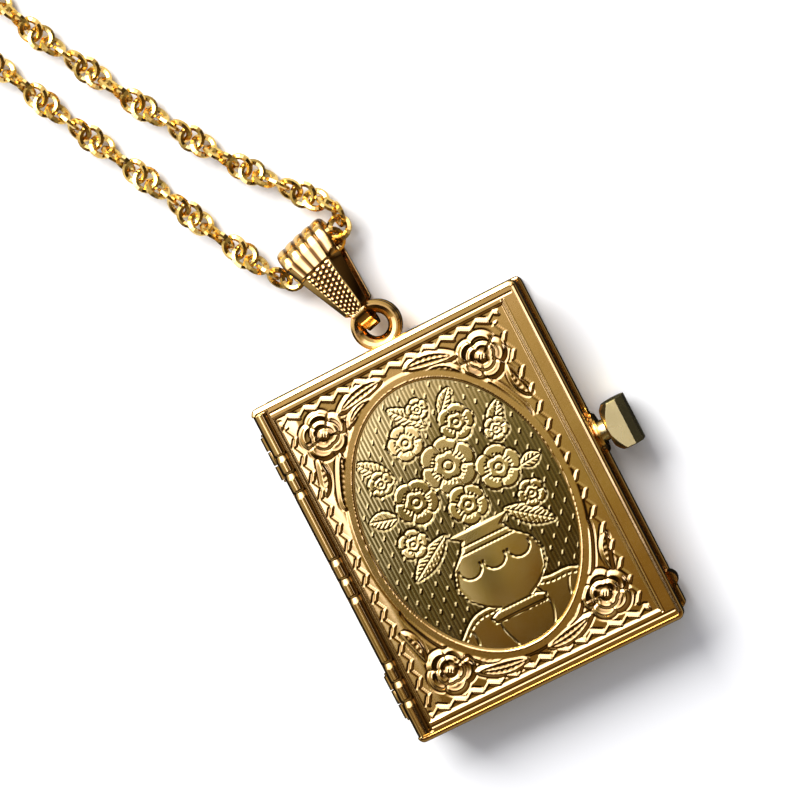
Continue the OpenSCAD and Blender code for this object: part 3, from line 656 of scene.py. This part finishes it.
def makeCoverKnuckles():
    bm = bmesh.new()
    for middle in hinge["middles"]:
        made = bmesh.ops.create_cone(bm, cap_ends=True, segments=hinge["sides"], radius1=hinge["knuckleR"],
                                     radius2=hinge["knuckleR"], depth=2 * hinge["knuckleHalf"])
        turn = Matrix.Translation((hinge["x"], middle, hinge["z"])) @ Matrix.Rotation(math.pi / 2, 4, "X")
        bmesh.ops.transform(bm, matrix=turn, verts=made["verts"])
        ends = [e for e in bm.edges if e.verts[0] in made["verts"]
                and sum(len(f.verts) > 4 for f in e.link_faces) == 1]
        roundEdges(bm, ends, hinge["bevel"])
    addPiece("coverKnuckles", bm, coverGold, "cover")


makeCoverLining()
makeCoverKnuckles()
print("cover lining and knuckles made")


# bail: a strap round a foot and a roll, with s its way up from the locket
bail = {
    "footX": -0.1, "footY": 17.65, "lean": 15, "strap": 0.45,
    "lowWidth": 1.1, "neckWidth": 2.4, "topWidth": 4.9, "neckRun": 0.5,
    "footR": 1.75, "footS": 1.65, "footZ": 2.8, "rollR": 1.95, "rollS": 8.15, "rollZ": 1.95,
    "crown": 0.25, "columns": 64, "rows": 280, "edgeBevel": 0.06, "edgeAngle": 60, "highest": 0.16,
    # slopes beside the beaded field by place across the strap, the right one wide and steep
    "rightFrom": 0.5, "rightDrop": 0.62, "leftFrom": 0.72, "leftDrop": 0.28, "slopeStart": (1.5, 1.9),
    "rightEnd": (7.4, 6.4), "edgeLine": 0.05, "edgeHalf": 0.03, "edgeShade": (0.5, 0.56),
    # flutes over the roll, and a row of fine beads along its back edge, as shares of the roll
    "flutes": 5, "fluteHeight": 0.14, "fluteLength": 1.5, "fluteFrom": (0.35, 0.42),
    "fluteShade": (0.2, 0.75),
    "roughHeight": 0.05, "roughCount": 40, "roughFrom": (0.18, 0.24), "roughTo": (0.36, 0.3),
    "beadLeft": (-0.7, -0.65), "beadRight": (0.47, 0.42), "beadRows": 5, "beadWide": 1.2, "beadPitch": 0.46,
    "beadHeight": 0.12, "beadSink": 0.05,
}


def makeBail():
    footR, rollR = bail["footR"], bail["rollR"]
    run = math.hypot(bail["rollS"] - bail["footS"], bail["rollZ"] - bail["footZ"])
    slope = math.atan2(bail["rollZ"] - bail["footZ"], bail["rollS"] - bail["footS"])
    turn = math.acos((footR - rollR) / run)
    front, back = slope + turn, slope - turn
    lengths = [rollR * (front - back), run, footR * (2 * math.pi - front + back), run]
    ends = np.cumsum([0] + lengths)
    bm, across, v = makeGrid(bail["columns"], bail["rows"])
    at = (v + 1) / 2 * ends[-1]
    # over the roll, down the front, round the foot and up the back
    parts = [at <= ends[1], at <= ends[2], at <= ends[3]]
    angle = np.select(parts, [back + at / rollR, front, front + (at - ends[2]) / footR], back)
    along = np.clip((at - ends[1]) / run, 0, 1)
    backAlong = np.clip((at - ends[3]) / run, 0, 1)

    def follow(roll, foot, swing):
        frontFrom, frontTo = roll + rollR * swing(front), foot + footR * swing(front)
        backFrom, backTo = foot + footR * swing(back), roll + rollR * swing(back)
        down = frontFrom + (frontTo - frontFrom) * along
        up = backFrom + (backTo - backFrom) * backAlong
        return np.select(parts, [roll + rollR * swing(angle), down, foot + footR * swing(angle)], up)

    s = follow(bail["rollS"], bail["footS"], np.cos)
    z = follow(bail["rollZ"], bail["footZ"], np.sin)
    widths = (bail["lowWidth"], bail["neckWidth"], bail["topWidth"])
    half = np.interp(s, (bail["footS"], bail["footS"] + bail["neckRun"], bail["rollS"]), widths) / 2
    widen = np.clip((2 * half - bail["lowWidth"]) / (bail["topWidth"] - bail["lowWidth"]), 0, 1)
    onFront = (at > ends[1]) & (at <= ends[2])
    crownShare = np.where(onFront, 1, np.where(at <= ends[1], at / ends[1], 0)) * widen
    drop = bail["crown"] * across ** 2 * crownShare
    slopeStart = ramp(*bail["slopeStart"], s)
    onRight = slopeStart * ramp(*bail["rightEnd"], s) * onFront
    rightFrom, leftFrom = bail["rightFrom"], bail["leftFrom"]
    side = bail["rightDrop"] * np.clip((across - rightFrom) / (1 - rightFrom), 0, 1) * onRight
    side += bail["leftDrop"] * np.clip((-across - leftFrom) / (1 - leftFrom), 0, 1) * slopeStart * onFront
    # flutes and the row of fine beads
    fluteEnd = ends[1] + bail["fluteLength"]
    fluteLow, fluteHigh = bail["fluteFrom"]
    fluteZone = ramp(ends[1] * fluteLow, ends[1] * fluteHigh, at) * ramp(fluteEnd, fluteEnd - 0.12, at)
    crest = np.abs(np.sin(bail["flutes"] / 2 * math.pi * (across + 1)))
    flutes = bail["fluteHeight"] * crest ** 0.5 * fluteZone
    rough = bail["roughHeight"] * np.cos(across * bail["roughCount"])
    for low, high in (bail["roughFrom"], bail["roughTo"]):
        rough *= ramp(ends[1] * low, ends[1] * high, at)
    # beads in staggered rows between the slopes
    field = ramp(*bail["beadRight"], across) * ramp(*bail["beadLeft"], across)
    beadZone = ramp(fluteEnd + 0.05, fluteEnd + 0.15, at) * ramp(ends[2] + 0.1, ends[2] - 0.15, at) * field
    beadU = (across - bail["beadLeft"][0]) / bail["beadWide"] * bail["beadRows"]
    beadRow = (at - ends[1]) / bail["beadPitch"] + 0.5 * np.floor(beadU)
    near = np.hypot(beadU - np.floor(beadU) - 0.5, beadRow - np.floor(beadRow) - 0.5)
    bead = np.sqrt(np.clip(1 - (near / 0.5) ** 2, 0, None))
    beads = (bail["beadHeight"] * bead - bail["beadSink"]) * beadZone
    edgeLine = bail["edgeLine"] * line(across - rightFrom, bail["edgeHalf"]) * onRight
    lift = np.minimum(flutes + beads + edgeLine + rough, bail["highest"]) - drop - side
    sOut = s + lift * np.cos(angle)
    zOut = z + lift * np.sin(angle)
    lean = math.radians(bail["lean"])
    w = half * across
    x = bail["footX"] + w * math.cos(lean) - sOut * math.sin(lean)
    y = bail["footY"] + w * math.sin(lean) + sOut * math.cos(lean)
    # painted shade between the beads, on the right slope and between the flutes
    beadTop = np.sqrt(np.clip(1 - (near / 0.3) ** 2, 0, None))
    shade = (1 - beadTop) * beadZone + ramp(*bail["edgeShade"], across) * onRight
    shade += ramp(*bail["fluteShade"], 1 - crest) * fluteZone
    shapeGrid(bm, x, y, zOut, shade)
    bmesh.ops.remove_doubles(bm, verts=bm.verts, dist=1e-4)
    bmesh.ops.recalc_face_normals(bm, faces=bm.faces)
    piece = addPiece("bailStrap", bm, bailGold, "case", ["bail"])
    wall = piece.modifiers.new("wall", "SOLIDIFY")
    wall.thickness = bail["strap"] * mm
    wall.offset = -1
    edge = piece.modifiers.new("edge", "BEVEL")
    edge.width = bail["edgeBevel"] * mm
    edge.segments = 2
    edge.limit_method = "ANGLE"
    edge.angle_limit = math.radians(bail["edgeAngle"])


makeBail()
print("bail made")


# chain of linked rings along the route of the source
chain = {
    "ringR": 0.93, "bandWide": 0.56, "bandThick": 0.4, "pitch": 1.2, "turn": 40, "segments": 20, "sides": 6,
    # points of the route, at this level where they name none
    "level": 1.2,
    "route": (
        (-95, 200), (-99, 195), (-103, 189), (-106, 181), (-108, 173), (-108, 166), (-107, 158), (-105, 151),
        (-102, 144), (-99, 137), (-95, 131), (-91, 125), (-86, 119), (-81, 113), (-76, 107), (-71, 101),
        (-65, 96), (-59, 91), (-52, 85), (-46, 80), (-40, 75), (-33.5, 69.5), (-28, 64), (-23, 58),
        (-19, 51.6), (-16.4, 46), (-13.8, 40.8), (-11.4, 35.8), (-9.5, 31.6), (-8.0, 28.8, 1.3),
        (-6.9, 26.6, 1.5), (-5.8, 25.0, 1.7), (-4.4, 24.4, 2.0), (-2.6, 24.9, 2.0), (-0.8, 25.5, 2.0),
        (0.6, 26.2, 1.9), (1.3, 27.2, 1.7), (1.0, 28.5, 1.5), (-0.2, 29.8, 1.3), (-2.4, 32.4),
        (-5.2, 36), (-7.9, 40.4), (-10.5, 44.8), (-13.0, 49.4), (-15.4, 54), (-17.6, 60), (-19, 68),
        (-20, 76), (-20, 84), (-20, 93), (-20, 101), (-20, 109), (-20, 117), (-21, 125), (-22, 133),
        (-23, 141), (-24, 148), (-26, 156), (-28, 163), (-31, 170), (-34, 177), (-38, 183), (-42, 189),
        (-48, 195), (-53, 199), (-60, 203), (-68, 205), (-76, 206), (-82, 206),
    ),
}


def smoothRoute(points, steps=40):
    # centripetal curve through the points
    curve = []
    for i in range(len(points) - 1):
        p0, p1, p2, p3 = (points[min(max(i + k, 0), len(points) - 1)] for k in (-1, 0, 1, 2))
        t1 = max((p1 - p0).length, 1e-6) ** 0.5
        t2 = t1 + (p2 - p1).length ** 0.5
        t3 = t2 + max((p3 - p2).length, 1e-6) ** 0.5
        for k in range(steps):
            t = t1 + (t2 - t1) * k / steps
            a1 = p0.lerp(p1, t / t1) if t1 > 1e-2 else p1
            a2 = p1.lerp(p2, (t - t1) / (t2 - t1))
            a3 = p2.lerp(p3, (t - t2) / (t3 - t2)) if t3 - t2 > 1e-2 else p2
            b1 = a1.lerp(a2, t / t2)
            b2 = a2.lerp(a3, (t - t1) / (t3 - t1))
            curve.append(b1.lerp(b2, (t - t1) / (t2 - t1)))
    curve.append(points[-1])
    return np.array([p[:] for p in curve])


def makeRing():
    # one ring round Z from a flat six-sided band
    ring = bmesh.new()
    made = bmesh.ops.create_circle(ring, segments=chain["sides"], radius=0.5)
    bmesh.ops.scale(ring, vec=(chain["bandWide"], chain["bandThick"] / 0.866, 1), verts=made["verts"])
    bmesh.ops.rotate(ring, cent=(0, 0, 0), matrix=Matrix.Rotation(math.pi / 2, 3, "X"), verts=made["verts"])
    bmesh.ops.translate(ring, vec=(chain["ringR"], 0, 0), verts=made["verts"])
    bmesh.ops.spin(ring, geom=ring.edges[:] + ring.verts[:], cent=(0, 0, 0), axis=(0, 0, 1), dvec=(0, 0, 0),
                   angle=2 * math.pi, steps=chain["segments"], use_merge=True, use_duplicate=False)
    bmesh.ops.remove_doubles(ring, verts=ring.verts, dist=1e-4)
    bmesh.ops.recalc_face_normals(ring, faces=ring.faces)
    return toMesh("ring", ring)


def makeChain():
    curve = smoothRoute([Vector((x, y, *(rest or [chain["level"]]))) for x, y, *rest in chain["route"]])
    run = np.concatenate([[0], np.cumsum(np.linalg.norm(np.diff(curve, axis=0), axis=1))])
    count = int(run[-1] / chain["pitch"])
    places = [(i + 0.5) * run[-1] / count for i in range(count)]
    middles = np.array([[np.interp(at, run, curve[:, k]) for k in range(3)] for at in places])
    heading = np.gradient(middles, axis=0)
    ringMesh = makeRing()
    bm = bmesh.new()
    for i in range(count):
        tangent = Vector(heading[i]).normalized()
        side = tangent.cross(Vector((0, 0, 1))).normalized()
        top = side.cross(tangent)
        angle = math.radians(chain["turn"] * i)
        wide = side * math.cos(angle) + top * math.sin(angle)
        plane = tangent.cross(wide)
        start = len(bm.verts)
        bm.from_mesh(ringMesh)
        bm.verts.ensure_lookup_table()
        place = Matrix((tangent, wide, plane)).transposed().to_4x4()
        place.translation = Vector(middles[i])
        bmesh.ops.transform(bm, matrix=place, verts=bm.verts[start:])
    bpy.data.meshes.remove(ringMesh)
    addPiece("chainRings", bm, chainGold, "case", ["chain"], False)
    return count


ringCount = makeChain()
print("chain:", ringCount, "rings")


# finishes of the solids that stay
finishes = {
    "back_case": caseGold, "hinge_pin_upper": caseGold, "hinge_pin_lower": caseGold,
    "clasp": chainGold, "button": buttonGold,
}
for nodeName, finish in finishes.items():
    nodes[nodeName].data.materials.clear()
    nodes[nodeName].data.materials.append(finish)
print("solids dressed")


# stage: floor, light, world and camera
stage = {
    "floorSize": 1.6, "floorTone": 0.9, "floorRough": 0.9, "floorSheen": 0.1,
    # painted shade on the floor as polished metal mirrors it: dark near the viewer, light on the far side
    "mirrorDark": 0.01, "mirrorLight": 0.7, "mirrorWay": (0, 1, 0), "mirrorRun": (0.019, 0.03),
    "boxAt": (-0.1, 0.35, 0.32), "boxSize": 0.32, "boxPower": 4.0,
    "view": (10.3, 2.6), "distance": 0.3, "lens": 156.6, "sensor": 36, "clip": (0.01, 10),
    "aim": (-0.001625, 0.01087, 0.0),
    "seen": (0.9, 0.9, 0.9), "fill": (1, 1, 0.99), "fillStrength": 0.37,
    # the mirrored walls below wallRise and the room above, each from dark to light side
    "lightSide": (-0.26, 0.78, 0.57), "wallRise": (0.44, 0.58),
    "walls": (
        (0.0, (0.3, 0.27, 0.22)), (0.46, (0.26, 0.23, 0.18)), (0.48, (0.04, 0.03, 0.02)),
        (0.52, (0.04, 0.03, 0.02)), (0.65, (0.45, 0.42, 0.36)), (1.0, (0.8, 0.77, 0.7)),
    ),
    "room": (
        (0.0, (0.22, 0.17, 0.1)), (0.4, (0.15, 0.1, 0.05)), (0.57, (0.08, 0.05, 0.02)),
        (0.63, (0.015, 0.01, 0.004)), (0.7, (0.015, 0.01, 0.004)), (0.715, (0.035, 0.02, 0.006)),
        (0.74, (0.15, 0.085, 0.02)), (0.7525, (0.22, 0.165, 0.06)), (0.76, (0.29, 0.265, 0.15)),
        (0.7675, (0.33, 0.33, 0.23)), (0.775, (0.38, 0.37, 0.28)), (0.7825, (0.48, 0.41, 0.27)),
        (0.79, (0.52, 0.46, 0.36)), (0.8, (0.6, 0.58, 0.54)), (0.815, (1.8, 1.8, 2.8)),
        (0.9, (2.8, 3.0, 4.8)), (1.0, (2.4, 2.6, 4.0)),
    ),
    "patchScale": 14, "patchDetail": 1, "patchRun": (0.42, 0.6),
    "patchCool": (1.0, 1.02, 1.0), "patchWarm": (1.06, 0.9, 0.62),
    "dark": (-0.222, -0.095, 1), "darkReach": (0.02, 0.06), "darkLevel": 0.4,
    # small windows as direction, reach and tone: for the spine and the right rim
    "windows": (
        ((-0.38, 0.0, 1), (0.065, 0.105), (2.8, 2.9, 4.4)),
        ((0.4, -0.03, 0.92), (0.05, 0.09), (2.2, 2.2, 3.2)),
    ),
}


def makeFloor():
    bm = bmesh.new()
    bmesh.ops.create_grid(bm, x_segments=2, y_segments=2, size=stage["floorSize"] / 2)
    floor = addObject("floor", toMesh("floor", bm))
    material = bpy.data.materials.new("paper")
    material.use_nodes = True
    tree = material.node_tree
    shader = tree.nodes["Principled BSDF"]
    shader.inputs["Roughness"].default_value = stage["floorRough"]
    shader.inputs["Specular IOR Level"].default_value = stage["floorSheen"]
    rays = newNode(tree, "LightPath", (-600, 200))
    tone = newMix(tree, (-300, 200), [stage["floorTone"]] * 3)
    # painted shade: glossy rays see the floor dark, and bright on the light side only
    where = newNode(tree, "TexCoord", (-1200, 0))
    toward = newNode(tree, "VectorMath", (-1000, 0), {1: stage["mirrorWay"]}, operation="DOT_PRODUCT")
    share = newRange(tree, (-800, 0), stage["mirrorRun"])
    mirrored = newMix(tree, (-600, 0), [stage["mirrorDark"]] * 3, [stage["mirrorLight"]] * 3)
    join(
        tree,
        (where, "Object", toward, 0), (toward, "Value", share, "Value"),
        (share, "Result", mirrored, "Factor"), (mirrored, "Result", tone, "B"),
        (rays, "Is Glossy Ray", tone, "Factor"), (tone, "Result", shader, "Base Color"),
    )
    floor.data.materials.append(material)


def makeSoftbox():
    lamp = bpy.data.lights.new("softbox", "AREA")
    lamp.shape = "SQUARE"
    lamp.size = stage["boxSize"]
    lamp.energy = stage["boxPower"]
    box = addObject("softbox", lamp)
    box.location = stage["boxAt"]
    box.rotation_mode = "QUATERNION"
    box.rotation_quaternion = (-Vector(stage["boxAt"])).to_track_quat("-Z", "Y")


def makeWorld():
    world = bpy.data.worlds.new("studio")
    scene.world = world
    world.use_nodes = True
    tree = world.node_tree
    tree.nodes.clear()
    out = newNode(tree, "OutputWorld", (800, 0))
    where = newNode(tree, "TexCoord", (-800, 0))
    apart = newNode(tree, "SeparateXYZ", (-600, 200))
    toward = newNode(tree, "VectorMath", (-600, 0), {1: stage["lightSide"]}, operation="DOT_PRODUCT")
    across = newRange(tree, (-450, 0), (-1, 1), soft=False)
    ramps = {}
    for name in ("room", "walls"):
        ramps[name] = newNode(tree, "ValToRGB", (-300, 0))
        stops = ramps[name].color_ramp.elements
        while len(stops) < len(stage[name]):
            stops.new(0.5)
        for stop, (share, tone) in zip(stops, stage[name]):
            stop.position = share
            stop.color = (*tone, 1)
    patches = newNode(tree, "TexNoise", (-600, -300),
                      {"Scale": stage["patchScale"], "Detail": stage["patchDetail"]})
    warm = newRange(tree, (-400, -300), stage["patchRun"], soft=False)
    tint = newMix(tree, (-200, -300), stage["patchCool"], stage["patchWarm"])
    tinted = newMix(tree, (0, 0), blend_type="MULTIPLY")
    tinted.inputs["Factor"].default_value = 1
    rise = newRange(tree, (-300, 200), stage["wallRise"])
    whole = newMix(tree, (100, 200))
    room = newNode(tree, "Background", (200, 0))
    seen = newNode(tree, "Background", (200, -200), {"Color": (*stage["seen"], 1)})
    fill = newNode(tree, "Background", (200, -400),
                   {"Color": (*stage["fill"], 1), "Strength": stage["fillStrength"]})
    rays = newNode(tree, "LightPath", (200, 400))
    mixFill = newNode(tree, "MixShader", (400, 0))
    mixSeen = newNode(tree, "MixShader", (600, 0))

    def nearness(direction, reach, to):
        # from the first value at a direction to the second at its reach
        toWay = {1: Vector(direction).normalized()}
        far = newNode(tree, "VectorMath", (-600, -600), toWay, operation="DISTANCE")
        share = newRange(tree, (-400, -600), reach, to)
        join(tree, (where, "Generated", far, 0), (far, "Value", share, "Value"))
        return share

    join(
        tree,
        (where, "Generated", apart, "Vector"), (where, "Generated", toward, 0),
        (where, "Generated", patches, "Vector"), (toward, "Value", across, "Value"),
        (across, "Result", ramps["room"], "Fac"), (across, "Result", ramps["walls"], "Fac"),
        (apart, "Z", rise, "Value"), (patches, "Fac", warm, "Value"), (warm, "Result", tint, "Factor"),
        (ramps["room"], "Color", tinted, "A"), (tint, "Result", tinted, "B"),
        (rise, "Result", whole, "Factor"), (ramps["walls"], "Color", whole, "A"),
        (tinted, "Result", whole, "B"),
    )
    last = whole
    for direction, reach, tone in stage["windows"]:
        lit = newMix(tree, (100, -100), b=tone)
        join(tree, (nearness(direction, reach, (1, 0)), "Result", lit, "Factor"), (last, "Result", lit, "A"))
        last = lit
    dark = nearness(stage["dark"], stage["darkReach"], (stage["darkLevel"], 1))
    join(
        tree,
        (last, "Result", room, "Color"), (dark, "Result", room, "Strength"),
        (rays, "Is Diffuse Ray", mixFill, "Fac"), (room, "Background", mixFill, 1),
        (fill, "Background", mixFill, 2), (rays, "Is Camera Ray", mixSeen, "Fac"),
        (mixFill, "Shader", mixSeen, 1), (seen, "Background", mixSeen, 2),
        (mixSeen, "Shader", out, "Surface"),
    )


def makeCamera():
    tiltX, tiltY = (math.radians(a) for a in stage["view"])
    back = Vector((math.tan(tiltX), math.tan(tiltY), 1)).normalized()
    right = Vector((levelX, levelY, 0))
    right = (right - back * right.dot(back)).normalized()
    up = back.cross(right)
    lens = bpy.data.cameras.new("camera")
    lens.lens = stage["lens"]
    lens.sensor_width = stage["sensor"]
    lens.clip_start, lens.clip_end = stage["clip"]
    camera = addObject("camera", lens)
    place = Matrix.Translation(Vector(stage["aim"]) + back * stage["distance"])
    camera.matrix_world = place @ Matrix((right, up, back)).transposed().to_4x4()
    scene.camera = camera


makeFloor()
makeSoftbox()
makeWorld()
makeCamera()
scene.view_settings.view_transform = "Standard"
print("stage set")
